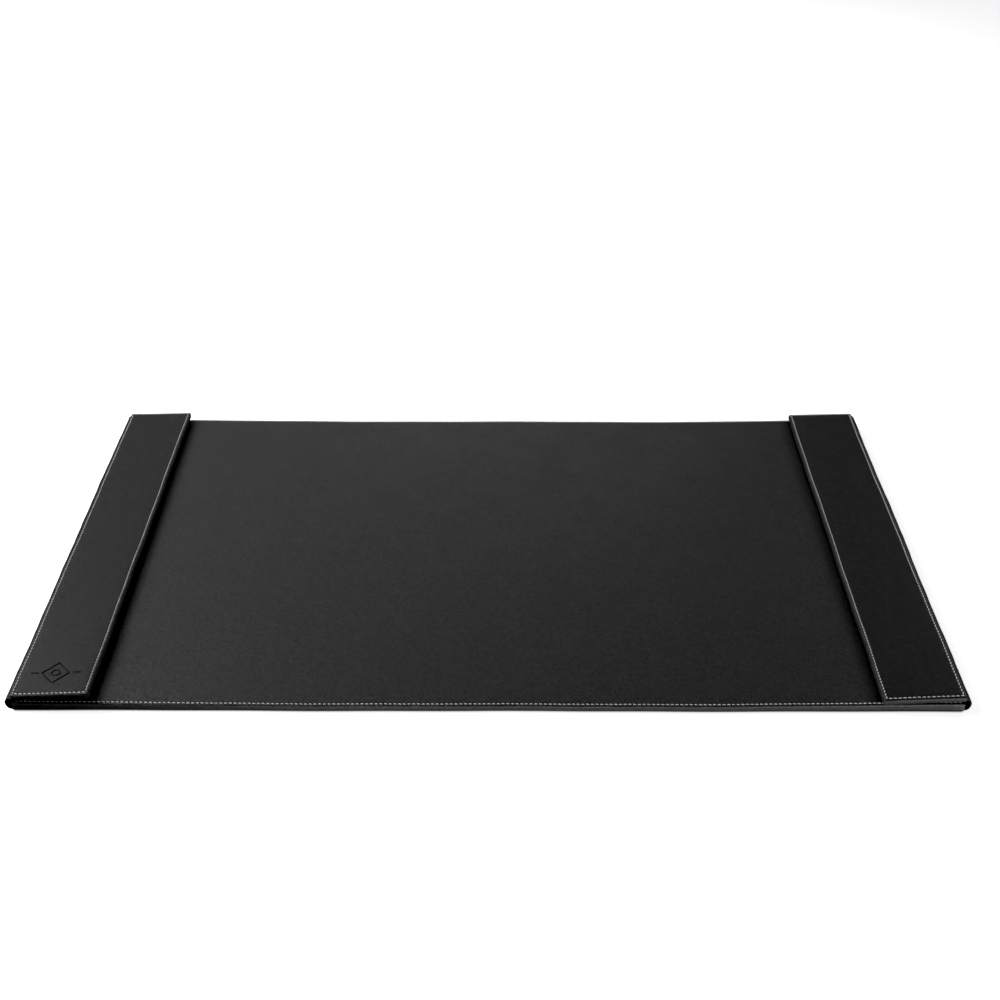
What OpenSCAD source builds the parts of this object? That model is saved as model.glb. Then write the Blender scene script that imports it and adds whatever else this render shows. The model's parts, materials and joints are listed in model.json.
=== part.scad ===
// Desk mat with two lifting rails
//
// A wrapped and stitched pad lies on the desk. At each end a stiff, wrapped rail lies
// over it, joined to the pad along its outer edge by a strip of leatherette. The rail
// lifts about that edge like a book cover, and a sheet slides into the slot under it.
//
// Millimetres. The origin is the centre of the underside, on the desk. +X is the
// user's right, +Y points away from the user, +Z is up.

/* [Overall] */
// Width over the two spines
mat_w = 864; // [600:2:1000]
// Depth from the front edge to the rear edge
mat_d = 508; // [360:2:700]

/* [Rails] */
// Width of each rail panel
rail_w = 73; // [70:1:110]
// Height of the slot between the pad and a rail
slot_h = 2.8; // [2:0.1:5]
// Width of the strip that holds the slot open, along the spine
spacer_w = 8; // [5:1:12]

/* [Layers] */
// Thickness of the leatherette
skin_t = 0.8; // [0.8:0.1:1]
// Thickness of the felt under the pad
backing_t = 1; // [1:0.1:2]
// Thickness of the pad's core board
pad_board_t = 3; // [2:0.5:5]
// Thickness of the foam on the pad's board
pad_foam_t = 0.8; // [0.5:0.1:2]
// Thickness of the cloth under each rail
lining_t = 1; // [1:0.1:1.5]
// Thickness of a rail's core board
rail_board_t = 2; // [1.5:0.5:4]
// Thickness of the foam on a rail's board
rail_foam_t = 0.6; // [0.4:0.1:1.5]

/* [Edges] */
// Radius of the rolled upper edges
edge_r = 1.8; // [1:0.1:2.2]
// Radius of a panel's corners, seen from above
corner_r = 2.2; // [1.5:0.1:4]
// Width of leatherette turned in under a board
turn_in = 14; // [8:1:20]
// Width of each flange of a spine strip
flange_w = 14; // [8:1:18]

/* [Stitching] */
// Distance of the stitch line from a panel's edge
stitch_inset = 2.8; // [2.6:0.1:4]
// Thickness of the thread
thread_d = 0.7; // [0.5:0.1:0.8]
// How far the thread stands out of its groove
thread_proud = 0.2; // [0.2:0.05:0.3]

/* [Ornament] */
// Depth of the pressed ornament at the front of the left rail
ornament_depth = 0.4; // [0.2:0.1:0.5]
// Width of the ornament's pressed lines
ornament_line = 1.3; // [0.8:0.1:2]

/* [Hidden] */
$fn = 48;

// Clearance between parts that are laid in place
gap = 0.1;
// How far a cutting tool reaches past the face it cuts
over = 1;
// Radius of the seam where the leatherette meets the layer below it
seam_r = 0.5;
// Path radius of a stitch line at a corner
stitch_corner_r = 1.2;
// Inset of the felt from the pad's edge
backing_inset = 0.8;
// Radius of the edges of the cloth under a rail
lining_r = 0.4;
// Distance from a stitch line to the end of a spacer
spacer_margin = 2;

half_d = mat_d / 2;

// The pad, from the desk up
pad_turn_z = backing_t;
pad_board_z = pad_turn_z + skin_t;
pad_foam_z = pad_board_z + pad_board_t;
pad_top = pad_foam_z + pad_foam_t + skin_t;

// A rail, from its lining up
rail_z = pad_top + slot_h;
rail_turn_z = rail_z + lining_t;
rail_board_z = rail_turn_z + skin_t;
rail_foam_z = rail_board_z + rail_board_t;
rail_top = rail_foam_z + rail_foam_t + skin_t;

// The spine is a half round that joins the pad's turn-in level to the rail's
spine_r = (rail_board_z - pad_turn_z) / 2;
spine_z = pad_turn_z + spine_r;
edge_x = mat_w / 2 - spine_r;
rail_x = edge_x - rail_w;
spine_len = mat_d - 2 * skin_t - 2 * gap;

// The needle groove that the thread lies in
groove_w = thread_d + gap;
groove_depth = thread_d - thread_proud + gap / 2;
bobbin_groove_depth = thread_d + gap;

// The pressed ornament: a lozenge round a ring, between two bars
ornament_half_w = 14;
ornament_half_h = 15;
ornament_ring_r = 4.5;
ornament_bar_x = 17;
ornament_bar_len = 6;
// Distance from the rail's front stitch line to the ornament's centre
ornament_setback = 28;
ornament_y = -half_d + stitch_inset + ornament_setback;

// ---- Shared shapes ----

// Everything on the left is the mirror image of the right.
module on_side(side) {
    if (side == "left") mirror([1, 0, 0]) children();
    else children();
}

// A box given by its lowest and highest corners.
module block(low, high) {
    translate(low) cube(high - low);
}

// A rectangle from [x0, y0] to [x1, y1] with radius low_r on its lower corners and
// top_r on its upper ones.
module rounded_outline(x0, x1, y0, y1, low_r, top_r) {
    for (x = [x0 + low_r, x1 - low_r]) translate([x, y0 + low_r]) circle(low_r);
    for (x = [x0 + top_r, x1 - top_r]) translate([x, y1 - top_r]) circle(top_r);
    translate([x0, y0 + low_r]) square([x1 - x0, y1 - y0 - low_r - top_r]);
    translate([x0 + low_r, y0]) square([x1 - x0 - 2 * low_r, low_r]);
    translate([x0 + top_r, y1 - top_r]) square([x1 - x0 - 2 * top_r, top_r]);
}

// A flat panel with rounded corners, a small radius low_r below and top_r above.
module panel(low, high, low_r, top_r) {
    size = high - low;
    intersection() {
        translate([0, 0, low.z])
            linear_extrude(size.z)
                rounded_outline(low.x, high.x, low.y, high.y, corner_r, corner_r);
        translate([0, high.y, 0]) rotate([90, 0, 0])
            linear_extrude(size.y)
                rounded_outline(low.x, high.x, low.z, high.z, low_r, top_r);
        translate([low.x, 0, 0]) rotate([90, 0, 90])
            linear_extrude(size.x)
                rounded_outline(low.y, high.y, low.z, high.z, low_r, top_r);
    }
}

// Sweeps a 2D child round a rectangle with corners of radius r.
module ring_sweep(x0, x1, y0, y1, r) {
    for (y = [y0, y1]) translate([x0 + r, y, 0]) rotate([90, 0, 90])
        linear_extrude(x1 - x0 - 2 * r) children();
    for (x = [x0, x1]) translate([x, y1 - r, 0]) rotate([90, 0, 0])
        linear_extrude(y1 - y0 - 2 * r) children();
    corners = [[x1 - r, y1 - r, 0], [x0 + r, y1 - r, 90], [x0 + r, y0 + r, 180], [x1 - r, y0 + r, 270]];
    for (c = corners) translate([c[0], c[1], 0]) rotate([0, 0, c[2]])
        rotate_extrude(angle = 90) translate([r, 0]) children();
}

// Runs a 2D child along the front or rear edge of the pad. side is -1 for the front.
module edge_row(side) {
    length = 2 * (edge_x - stitch_inset);
    translate([-length / 2, side * (half_d - stitch_inset), 0]) rotate([90, 0, 90])
        linear_extrude(length) children();
}

// Runs a 2D child round a rail's stitch line.
module rail_ring() {
    ring_sweep(rail_x + stitch_inset, edge_x - stitch_inset,
        -half_d + stitch_inset, half_d - stitch_inset, stitch_corner_r) children();
}

// Section of the thread, lying in a groove in a face at height z. up is 1 for an upper
// face, and -1 for a lower one.
module thread_section(z, up, proud) {
    translate([0, z + up * (proud - thread_d / 2)]) circle(d = thread_d);
}

// Section of the groove for that thread, open past the face.
module groove_section(z, up, depth) {
    middle = z + up * (over - depth) / 2;
    translate([-groove_w / 2, middle - (over + depth) / 2]) square([groove_w, over + depth]);
}

// ---- Pad ----

module base_board() {
    color("saddlebrown")
        block([-edge_x + skin_t, -half_d + skin_t, pad_board_z],
            [edge_x - skin_t, half_d - skin_t, pad_foam_z]);
}

module base_foam() {
    inset = edge_r;
    color("dimgray")
        block([-edge_x + inset, -half_d + inset, pad_foam_z],
            [edge_x - inset, half_d - inset, pad_top - skin_t]);
}

// The leatherette over the pad, turned in under the board at the front and the rear.
// At the ends it is cut flush, where the spine's lower flange passes under the board.
module base_cover() {
    color("#202020") difference() {
        panel([-edge_x, -half_d, pad_turn_z], [edge_x, half_d, pad_top], seam_r, edge_r);
        block([-edge_x + skin_t, -half_d + skin_t, pad_board_z],
            [edge_x - skin_t, half_d - skin_t, pad_foam_z]);
        block([-edge_x + edge_r, -half_d + edge_r, pad_foam_z - over],
            [edge_x - edge_r, half_d - edge_r, pad_top - skin_t]);
        block([-edge_x + skin_t, -half_d + turn_in, pad_turn_z - over],
            [edge_x - skin_t, half_d - turn_in, pad_board_z + over]);
        for (side = ["left", "right"]) on_side(side)
            block([edge_x - flange_w - gap, -half_d + skin_t, pad_turn_z - over],
                [edge_x + over, half_d - skin_t, pad_board_z]);
        for (side = [-1, 1]) edge_row(side) groove_section(pad_top, 1, groove_depth);
    }
}

// The felt under the pad. It is thicker between the turn-ins, where it fills their step.
module base_backing() {
    low = [-edge_x + backing_inset, -half_d + backing_inset];
    color("#2b2b2b") difference() {
        union() {
            block([low.x, low.y, 0], [-low.x, -low.y, backing_t]);
            block([-edge_x + flange_w + gap, -half_d + turn_in + gap, 0],
                [edge_x - flange_w - gap, half_d - turn_in - gap, pad_board_z]);
        }
        for (side = [-1, 1]) edge_row(side) groove_section(0, -1, bobbin_groove_depth);
    }
}

module pad_stitching(side) {
    color("gainsboro") edge_row(side) thread_section(pad_top, 1, thread_proud);
}

// The thread on the underside is pulled into the felt, clear of the desk.
module pad_bobbin_thread(side) {
    color("dimgray") edge_row(side) thread_section(0, -1, -gap / 2);
}

// ---- Edge strips ----

// The strip of leatherette that joins a rail to the pad: a half round, with a flange
// under the pad's board and one under the rail's.
module spine(side) {
    color("#151515") on_side(side)
        translate([0, spine_len / 2, 0]) rotate([90, 0, 0]) linear_extrude(spine_len) {
            intersection() {
                translate([edge_x, spine_z]) difference() {
                    circle(spine_r);
                    circle(spine_r - skin_t);
                }
                translate([edge_x, spine_z - spine_r - over])
                    square([spine_r + over, 2 * (spine_r + over)]);
            }
            for (z = [pad_turn_z, rail_turn_z])
                translate([edge_x - flange_w, z]) square([flange_w, skin_t]);
        }
}

// The card strip that holds the slot open along the spine.
module spacer(side) {
    end_inset = stitch_inset + spacer_margin;
    color("#1a1a1a") on_side(side)
        block([edge_x - spacer_w - edge_r, -half_d + end_inset, pad_top],
            [edge_x - edge_r, half_d - end_inset, rail_z - gap]);
}

// ---- Rails ----

module rail_board(side) {
    color("saddlebrown") on_side(side)
        block([rail_x + skin_t, -half_d + skin_t, rail_board_z],
            [edge_x - skin_t, half_d - skin_t, rail_foam_z]);
}

module rail_foam(side) {
    inset = edge_r;
    color("dimgray") on_side(side)
        block([rail_x + inset, -half_d + inset, rail_foam_z],
            [edge_x - inset, half_d - inset, rail_top - skin_t]);
}

// The lines of the ornament, seen from above, centred on the origin.
module ornament_outline() {
    difference() {
        polygon([[-ornament_half_w, 0], [0, -ornament_half_h], [ornament_half_w, 0], [0, ornament_half_h]]);
        k = 1 - ornament_line * sqrt(1 / pow(ornament_half_w, 2) + 1 / pow(ornament_half_h, 2));
        polygon([[-ornament_half_w * k, 0], [0, -ornament_half_h * k],
            [ornament_half_w * k, 0], [0, ornament_half_h * k]]);
    }
    difference() {
        circle(ornament_ring_r);
        circle(ornament_ring_r - ornament_line);
    }
    for (x = [-ornament_bar_x - ornament_bar_len, ornament_bar_x])
        translate([x, -ornament_line / 2]) square([ornament_bar_len, ornament_line]);
}

// The leatherette over a rail, turned in under the board on three sides and cut flush
// on the outer one, where the spine's upper flange passes under the board.
module rail_cover(side) {
    color("#1c1c1c") difference() {
        on_side(side) difference() {
            panel([rail_x, -half_d, rail_turn_z], [edge_x, half_d, rail_top], seam_r, edge_r);
            block([rail_x + skin_t, -half_d + skin_t, rail_board_z],
                [edge_x - skin_t, half_d - skin_t, rail_foam_z]);
            block([rail_x + edge_r, -half_d + edge_r, rail_foam_z - over],
                [edge_x - edge_r, half_d - edge_r, rail_top - skin_t]);
            block([rail_x + turn_in, -half_d + turn_in, rail_turn_z - over],
                [edge_x - skin_t, half_d - turn_in, rail_board_z + over]);
            block([edge_x - flange_w - gap, -half_d + skin_t, rail_turn_z - over],
                [edge_x + over, half_d - skin_t, rail_board_z]);
            rail_ring() groove_section(rail_top, 1, groove_depth);
        }
        if (side == "left")
            translate([-(edge_x + rail_x) / 2, ornament_y, rail_top - ornament_depth])
                linear_extrude(ornament_depth + over) ornament_outline();
    }
}

// The cloth under a rail. It is thicker between the turn-ins, where it fills their step.
module rail_lining(side) {
    color("#262626") on_side(side) difference() {
        union() {
            panel([rail_x, -half_d, rail_z], [edge_x, half_d, rail_turn_z], lining_r, lining_r);
            block([rail_x + turn_in + gap, -half_d + turn_in + gap, rail_z + lining_t / 2],
                [edge_x - flange_w - gap, half_d - turn_in - gap, rail_board_z]);
        }
        rail_ring() groove_section(rail_z, -1, bobbin_groove_depth);
    }
}

module rail_stitching(side) {
    color("gainsboro") on_side(side) rail_ring() thread_section(rail_top, 1, thread_proud);
}

module rail_bobbin_thread(side) {
    color("dimgray") on_side(side) rail_ring() thread_section(rail_z, -1, -gap / 2);
}

// ---- Nodes ----

base_board();
base_foam();
base_cover();
base_backing();
pad_stitching(-1);  // front_stitching
pad_stitching(1);  // rear_stitching
pad_bobbin_thread(-1);  // front_bobbin_thread
pad_bobbin_thread(1);  // rear_bobbin_thread
spacer("left");  // left_spacer
spacer("right");  // right_spacer
spine("left");  // left_spine
spine("right");  // right_spine
rail_board("left");  // left_rail_board
rail_foam("left");  // left_rail_foam
rail_cover("left");  // left_rail_cover
rail_lining("left");  // left_rail_lining
rail_stitching("left");  // left_rail_stitching
rail_bobbin_thread("left");  // left_rail_bobbin_thread
rail_board("right");  // right_rail_board
rail_foam("right");  // right_rail_foam
rail_cover("right");  // right_rail_cover
rail_lining("right");  // right_rail_lining
rail_stitching("right");  // right_rail_stitching
rail_bobbin_thread("right");  // right_rail_bobbin_thread
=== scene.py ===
# Looks of a desk mat: a stitched leatherette pad with a lifting rail at each end.
#
# Shapes are worked out in millimetres from the frame's boxes, and become metres when a
# mesh is made. +X is the user's right, +Y points away from the user, +Z is up.
import json
import math

import bmesh
import bpy
import numpy as np
from mathutils import Matrix, Vector
from mathutils.geometry import delaunay_2d_cdt


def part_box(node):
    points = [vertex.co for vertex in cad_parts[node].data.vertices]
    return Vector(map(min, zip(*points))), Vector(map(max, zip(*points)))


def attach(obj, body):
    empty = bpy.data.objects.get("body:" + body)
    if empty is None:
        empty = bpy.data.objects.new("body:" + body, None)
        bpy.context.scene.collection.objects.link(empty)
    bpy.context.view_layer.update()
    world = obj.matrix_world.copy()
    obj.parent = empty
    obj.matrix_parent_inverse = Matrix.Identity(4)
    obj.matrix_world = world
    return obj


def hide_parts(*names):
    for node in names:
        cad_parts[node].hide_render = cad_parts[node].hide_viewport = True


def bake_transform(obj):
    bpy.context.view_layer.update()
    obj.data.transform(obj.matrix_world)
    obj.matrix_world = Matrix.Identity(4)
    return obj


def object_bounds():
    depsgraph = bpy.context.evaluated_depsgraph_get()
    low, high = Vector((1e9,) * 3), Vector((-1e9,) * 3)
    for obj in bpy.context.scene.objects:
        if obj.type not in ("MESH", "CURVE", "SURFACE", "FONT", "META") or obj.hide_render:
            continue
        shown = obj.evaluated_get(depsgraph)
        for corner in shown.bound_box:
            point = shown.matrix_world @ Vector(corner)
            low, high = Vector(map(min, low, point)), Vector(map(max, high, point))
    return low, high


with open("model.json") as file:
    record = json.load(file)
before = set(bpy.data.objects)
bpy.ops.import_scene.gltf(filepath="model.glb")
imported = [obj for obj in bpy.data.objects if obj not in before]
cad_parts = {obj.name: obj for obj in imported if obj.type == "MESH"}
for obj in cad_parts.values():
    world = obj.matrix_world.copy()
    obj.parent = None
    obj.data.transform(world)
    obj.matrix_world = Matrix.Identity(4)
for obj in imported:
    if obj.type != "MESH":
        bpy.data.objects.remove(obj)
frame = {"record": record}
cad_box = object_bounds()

# ---- Driving dimensions, in millimetres ----

MM = 0.001

SKIN = 0.8            # thickness of the leatherette
EDGE_R = 1.9          # rolled upper edge of a cover
SEAM_R = 0.5          # small radius where a cover meets the layer below
CORNER_R = 2.2        # corners of a panel, seen from above
TURN_IN = 14.0        # leatherette turned in under a board
BAND = 12.0           # width of the finely meshed margin inside a panel's edge
PITCH = 4.2           # length of one stitch
THREAD_R = 0.55       # radius of the two-ply thread
SEAM_DEPTH = 0.48     # how deep a seam pulls the leatherette down
SPINE_FLANGE = 14.0   # flat part of a spine, glued between the layers
BOARD_PLAY = 0.35     # room between a board's edge and the leatherette round it

# How the mat lies: both ends bulk up a little where the spines are glued in, and the rails
# don't close quite flat. Pairs are for the front and the back.
END_START = 130.0   # from the mat's middle, where the rise of its ends begins
END_LIFT = {"left": (3.0, 1.5), "right": (3.4, 4.0)}
FULL_LIFT_HEIGHT = 6.0   # points this high or higher rise in full
RAIL_AJAR = {"left": (0.046, 0.024), "right": (-0.040, -0.008)}   # a rail's slope at rest
PULL_IN = {"left": 2.5, "right": -0.7}   # how much shorter each end is
PINCH = {"left": 0.8, "right": 0.3, "pad": 0.42}   # depth of the crease in a cover's side
SWELL = {"pad": 0.12, "rail": 0.32}   # rise of the padding inwards of a seam
UNEVENNESS = 0.03   # height of the padding's slow bumps

ORNAMENT_SETBACK = 28.0    # ornament's centre, from the rail's front stitch line
ORNAMENT_HALF_W = 14.0
ORNAMENT_HALF_H = 15.0
ORNAMENT_RING_R = 4.5
ORNAMENT_LINE = 1.3
ORNAMENT_DEPTH = 0.5
ORNAMENT_BAR = (17.0, 23.0)
ORNAMENT_SOFTNESS = 0.5    # width of a pressed line's slope
SHOULDER_DEPTH = 0.07      # dip of the leatherette beside a pressed line
SHOULDER_REACH = 1.6
ORNAMENT_MESH_STEP = 0.34
ORNAMENT_MESH_REACH = 1.5  # how far from a line the mesh is fine
ORNAMENT_MESH_HALF = (24.6, 16.6)

RNG = np.random.default_rng(7)
MAT_HALF_W = cad_box[1][0] / MM
MAT_HALF_D = cad_box[1][1] / MM
PANEL_INNER_X = MAT_HALF_W - 78.0   # just inside the rails' inner edges


def show(thing):
    """Puts an object in the scene."""
    bpy.context.scene.collection.objects.link(thing)


def box_mm(node):
    """Lowest and highest corner of a CAD node, in millimetres."""
    low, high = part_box(node)
    return np.array(low) / MM, np.array(high) / MM


def smooth(t):
    """Smooth step from 0 to 1 over t from 0 to 1."""
    t = np.clip(t, 0, 1)
    return t * t * (3 - 2 * t)


def front_to_back(pair, y):
    """Blends a pair of values from the front edge to the back edge."""
    return pair[0] + (pair[1] - pair[0]) * (y + MAT_HALF_D) / (2 * MAT_HALF_D)


def wave(along, radius, phase, height=1.0):
    """A sine wave of the given height along a length. One wave is 2 pi times radius long."""
    return height * np.sin(along / radius + phase)


def settle(points):
    """Moves points to how this hand-wrapped mat lies: slightly wavy, with raised ends. Points
    at the desk hardly rise."""
    x, y, z = points.T
    lift = np.clip(z / FULL_LIFT_HEIGHT, 0, 1)
    moved = points.copy()
    moved[:, 0] += wave(y, 34, 0.6, 0.22) + wave(y, 13.1, 2.2, 0.14)
    moved[:, 1] += wave(x, 52, 1.1, 0.30) + wave(x, 19.3, 0.4, 0.16)
    moved[:, 2] += lift * 0.14 * np.sin(x / 61 + 0.3) * np.cos(y / 47 + 0.8)
    reach = MAT_HALF_W - END_START
    for side, sign in (("left", -1), ("right", 1)):
        curled = np.clip((sign * x - END_START) / reach, 0, 1.1)
        moved[:, 2] += (0.1 + 0.9 * lift) * front_to_back(END_LIFT[side], y) * curled * curled
        outer = smooth((sign * x - PANEL_INNER_X) / (MAT_HALF_W - PANEL_INNER_X))
        moved[:, 0] -= sign * PULL_IN[side] * outer
    return moved


# ---- Seams ----

PULL_ALL_ALONG = 0.72   # share of a seam's depth between needle holes, and the rest, at them
PULL_AT_HOLES = 0.28
GROOVE_HALF_W = 0.7
PUCKER = 0.11   # height of the puckers between needle holes
PUCKER_REACH = 0.8
PADDING_REACH = 3.5   # distance over which the padding swells
LIP_RISE = 0.06
LIP_W = 1.4


class Row:
    """A straight line of stitches along X. Inside is where the panel's middle lies."""

    def __init__(self, x0, x1, y, inward):
        self.x0, self.y, self.inward = x0, y, inward
        self.length = x1 - x0
        self.count = round(self.length / PITCH)
        self.pitch = self.length / self.count

    def place(self, s):
        along = np.tile([1.0, 0.0], (len(s), 1))
        return np.column_stack([self.x0 + s, np.full(len(s), self.y)]), along

    def find(self, x, y):
        """Distance inwards from the seam, and the length along it."""
        return (y - self.y) * self.inward, x - self.x0


class Ring:
    """A line of stitches round a rounded rectangle, walked anticlockwise from the front left."""

    def __init__(self, low, high, radius):
        self.middle = (low + high) / 2
        self.flat = (high - low) / 2 - radius
        self.radius = radius
        arc = radius * math.pi / 2
        spans = [2 * self.flat[0], arc, 2 * self.flat[1], arc] * 2
        self.starts = np.concatenate([[0], np.cumsum(spans)])
        self.length = self.starts[-1]
        self.count = round(self.length / PITCH)
        self.pitch = self.length / self.count

    def place(self, s):
        s = np.mod(s, self.length)
        part = np.clip(np.searchsorted(self.starts, s, side="right") - 1, 0, 7)
        turn = (part // 2) * math.pi / 2
        share = (s - self.starts[part]) / np.diff(self.starts)[part]
        on_arc = part % 2 == 1
        half_along = np.where(part % 4 < 2, self.flat[0], self.flat[1])
        half_across = np.where(part % 4 < 2, self.flat[1], self.flat[0])
        angle = np.where(on_arc, share * math.pi / 2, 0)
        u = np.where(on_arc, half_along, (2 * share - 1) * half_along) + self.radius * np.sin(angle)
        v = -half_across - self.radius * np.cos(angle)
        spots = self.middle + np.column_stack(
            [u * np.cos(turn) - v * np.sin(turn), u * np.sin(turn) + v * np.cos(turn)]
        )
        heading = turn + angle
        return spots, np.column_stack([np.cos(heading), np.sin(heading)])

    def find(self, x, y):
        px, py = x - self.middle[0], y - self.middle[1]
        qx, qy = np.abs(px) - self.flat[0], np.abs(py) - self.flat[1]
        outside = np.hypot(np.maximum(qx, 0), np.maximum(qy, 0))
        distance = self.radius - outside - np.minimum(np.maximum(qx, qy), 0)
        corner = (qx > 0) & (qy > 0)
        on_side = ~corner & (qx > qy)
        a, b = self.flat
        side = np.where(on_side, np.where(px > 0, 1, 3), np.where(py < 0, 0, 2))
        walk = np.choose(side, [px + a, py + b, a - px, b - py])
        quarter = np.choose((py > 0) * 2 + (px > 0), [3, 0, 2, 1])
        bend = np.arctan2(py - np.sign(py) * b, px - np.sign(px) * a) + math.pi / 2
        bend = np.mod(bend, 2 * math.pi)
        bend = np.mod(bend - quarter * math.pi / 2 + 0.01, 2 * math.pi) - 0.01
        along = np.where(
            corner, self.starts[2 * quarter + 1] + self.radius * bend, self.starts[2 * side] + walk
        )
        return distance, along


def seam_relief(seam, x, y, swell):
    """Height of the leatherette beside a seam: pulled down at the thread and most of all
    at each needle hole, swollen by the padding inwards, and rolled up in the lip outwards."""
    inwards, along = seam.find(x, y)
    at_hole = np.cos(math.pi * along / seam.pitch) ** 2
    away = np.abs(inwards)
    pull = PULL_ALL_ALONG + PULL_AT_HOLES * at_hole
    groove = -SEAM_DEPTH * pull * np.exp(-((away / GROOVE_HALF_W) ** 2))
    pucker = PUCKER * (0.5 - at_hole) * (away / PUCKER_REACH) * np.exp(-away / PUCKER_REACH)
    padding = swell * (1 - np.exp(-away / PADDING_REACH))
    lip = LIP_RISE * smooth(away / LIP_W)
    return groove + pucker + np.where(inwards > 0, padding, lip)


# ---- Meshes ----

CORNER_TIGHTENING = 0.36   # loss of corner radius for each millimetre of inset
LEAST_CORNER_R = 0.3
RIM_BANDS = ((0.25, 0.25), (0.7, 0.5))   # inset and spacing of the finer lines, in steps
GRID_INSET = 1.4   # where the even grid begins, in steps
STAGGER = 0.25   # sideways shift of alternate lines, in steps
FINE_CLEARANCE = 1.2   # room round extra points, in millimetres
SHARP_DEGREES = 50   # sharper edges aren't shaded smooth


class Outline:
    """Rings round a panel at any inset, all with the same number of points."""

    def __init__(self, low, high, step_x, step_y, corner_steps=7):
        self.low, self.high = low[:2], high[:2]
        size = self.high - self.low
        across, back = round(size[0] / step_x), round(size[1] / step_y)
        self.steps = [across, corner_steps, back, corner_steps] * 2
        self.count = sum(self.steps)

    def ring(self, inset):
        """Points, and the outward direction at each."""
        radius = max(CORNER_R - CORNER_TIGHTENING * inset, LEAST_CORNER_R)
        low, high = self.low + inset + radius, self.high - inset - radius
        corners = [(low[0], low[1]), (high[0], low[1]), (high[0], high[1]), (low[0], high[1])]
        points, outward = [], []
        for part, steps in enumerate(self.steps):
            share = np.arange(steps) / steps
            side = part // 2
            start, end = np.array(corners[side]), np.array(corners[(side + 1) % 4])
            if part % 2 == 0:
                angle = np.full(steps, (side - 1) * math.pi / 2)
                centre = start + share[:, None] * (end - start)
            else:
                angle = (side - 1 + share) * math.pi / 2
                centre = np.tile(end, (steps, 1))
            way = np.column_stack([np.cos(angle), np.sin(angle)])
            points.append(centre + radius * way)
            outward.append(way)
        return np.vstack(points), np.vstack(outward)


class Shape:
    """Gathers the rings and fills of one closed mesh."""

    def __init__(self):
        self.points, self.faces, self.edge = [], [], []
        self.total = 0

    def add(self, points, edge=0.0):
        """Adds points and returns the number of the first. edge marks worn edges, and where
        a stitch dives."""
        self.points.append(np.asarray(points, float))
        self.edge.append(np.full(len(points), float(edge)))
        self.total += len(points)
        return self.total - len(points)

    def join(self, first, second, count, closed=True):
        """Faces between two rings or rows of the same number of points."""
        last = count if closed else count - 1
        for i in range(last):
            j = (i + 1) % count
            self.faces.append((first + i, first + j, second + j, second + i))

    def wrap(self, rings):
        """Joins rings, given as (points, heights, edge), each to the one before. Returns the
        first and the last ring, each as (number of its first point, points)."""
        starts = []
        for points, heights, edge in rings:
            start = self.add(np.column_stack([points, heights]), edge)
            if starts:
                self.join(starts[-1][0], start, len(points))
            starts.append((start, points))
        return starts[0], starts[-1]

    def cap(self, ring, outline, inset, step, height, extra=None):
        """Fills a ring that lies at an inset with triangles, over inner points about a step
        apart, at heights from a function."""
        start, rim = ring
        inner = inner_points(outline.low + inset, outline.high - inset, step, extra)
        places = np.vstack([rim, inner])
        rim_face = [list(range(len(rim)))]
        found = delaunay_2d_cdt([Vector(p) for p in places], [], rim_face, 1, 1e-5)
        first = self.add(np.column_stack([inner, height(inner[:, 0], inner[:, 1])]))
        number = []
        for origins in found[3]:
            k = origins[0]
            number.append(start + k if k < len(rim) else first + k - len(rim))
        self.faces += [tuple(number[v] for v in face) for face in found[2]]


def level(z):
    """A height function that is z everywhere."""
    return lambda x, y: np.full(len(x), z)


def inner_points(low, high, step, extra=None):
    """A staggered grid of points inside a rectangle, finer towards its edge."""
    points = []
    for inset, spacing in RIM_BANDS:
        a, b = low + step * inset, high - step * inset
        nx, ny = np.maximum((b - a) / (step * spacing), 1).astype(int)
        for x in np.linspace(a[0], b[0], nx + 1):
            points += [(x, a[1]), (x, b[1])]
        for y in np.linspace(a[1], b[1], ny + 1)[1:-1]:
            points += [(a[0], y), (b[0], y)]
    a, b = low + step * GRID_INSET, high - step * GRID_INSET
    nx, ny = np.maximum((b - a) / step, 1).astype(int)
    for j, y in enumerate(np.linspace(a[1], b[1], ny + 1)):
        shift = STAGGER if j % 2 else -STAGGER
        for i in range(nx + 1):
            x = a[0] + (i + shift) * (b[0] - a[0]) / nx
            points.append((x, y))
    points = np.array(points)
    if extra is not None and len(extra):
        clear = np.ones(len(points), bool)
        reach_low, reach_high = extra.min(0) - 1, extra.max(0) + 1
        inside = ((points > reach_low) & (points < reach_high)).all(1)
        for k in np.flatnonzero(inside):
            clear[k] = np.min(np.abs(extra - points[k]).sum(1)) > FINE_CLEARANCE
        points = np.vstack([points[clear], extra])
    return points


def finish_mesh(name, shape, slot, node, body=None, pose=None, pressed=None):
    """Turns a shape into an object that stands for a CAD node and rides on a body. pose moves
    the points before they settle, and pressed finds those in pressed lines."""
    points = np.vstack(shape.points)
    marks = {"edge": np.concatenate(shape.edge)}
    if pressed:
        marks["pressed"] = pressed(points)
    if pose:
        points = pose(points)
    mesh = bpy.data.meshes.new(name)
    mesh.from_pydata((settle(points) * MM).tolist(), [], shape.faces)
    for mark, values in marks.items():
        made = mesh.attributes.new(mark, "FLOAT", "POINT")
        made.data.foreach_set("value", values.astype(np.float32))
    work = bmesh.new()
    work.from_mesh(mesh)
    bmesh.ops.recalc_face_normals(work, faces=work.faces)
    work.to_mesh(mesh)
    work.free()
    mesh.shade_smooth()
    mesh.set_sharp_from_angle(angle=math.radians(SHARP_DEGREES))
    mesh.materials.append(LOOKS[slot])
    piece = bpy.data.objects.new(name, mesh)
    show(piece)
    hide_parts(node)
    if body:
        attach(piece, body)
    return piece


# ---- Covers ----

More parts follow.
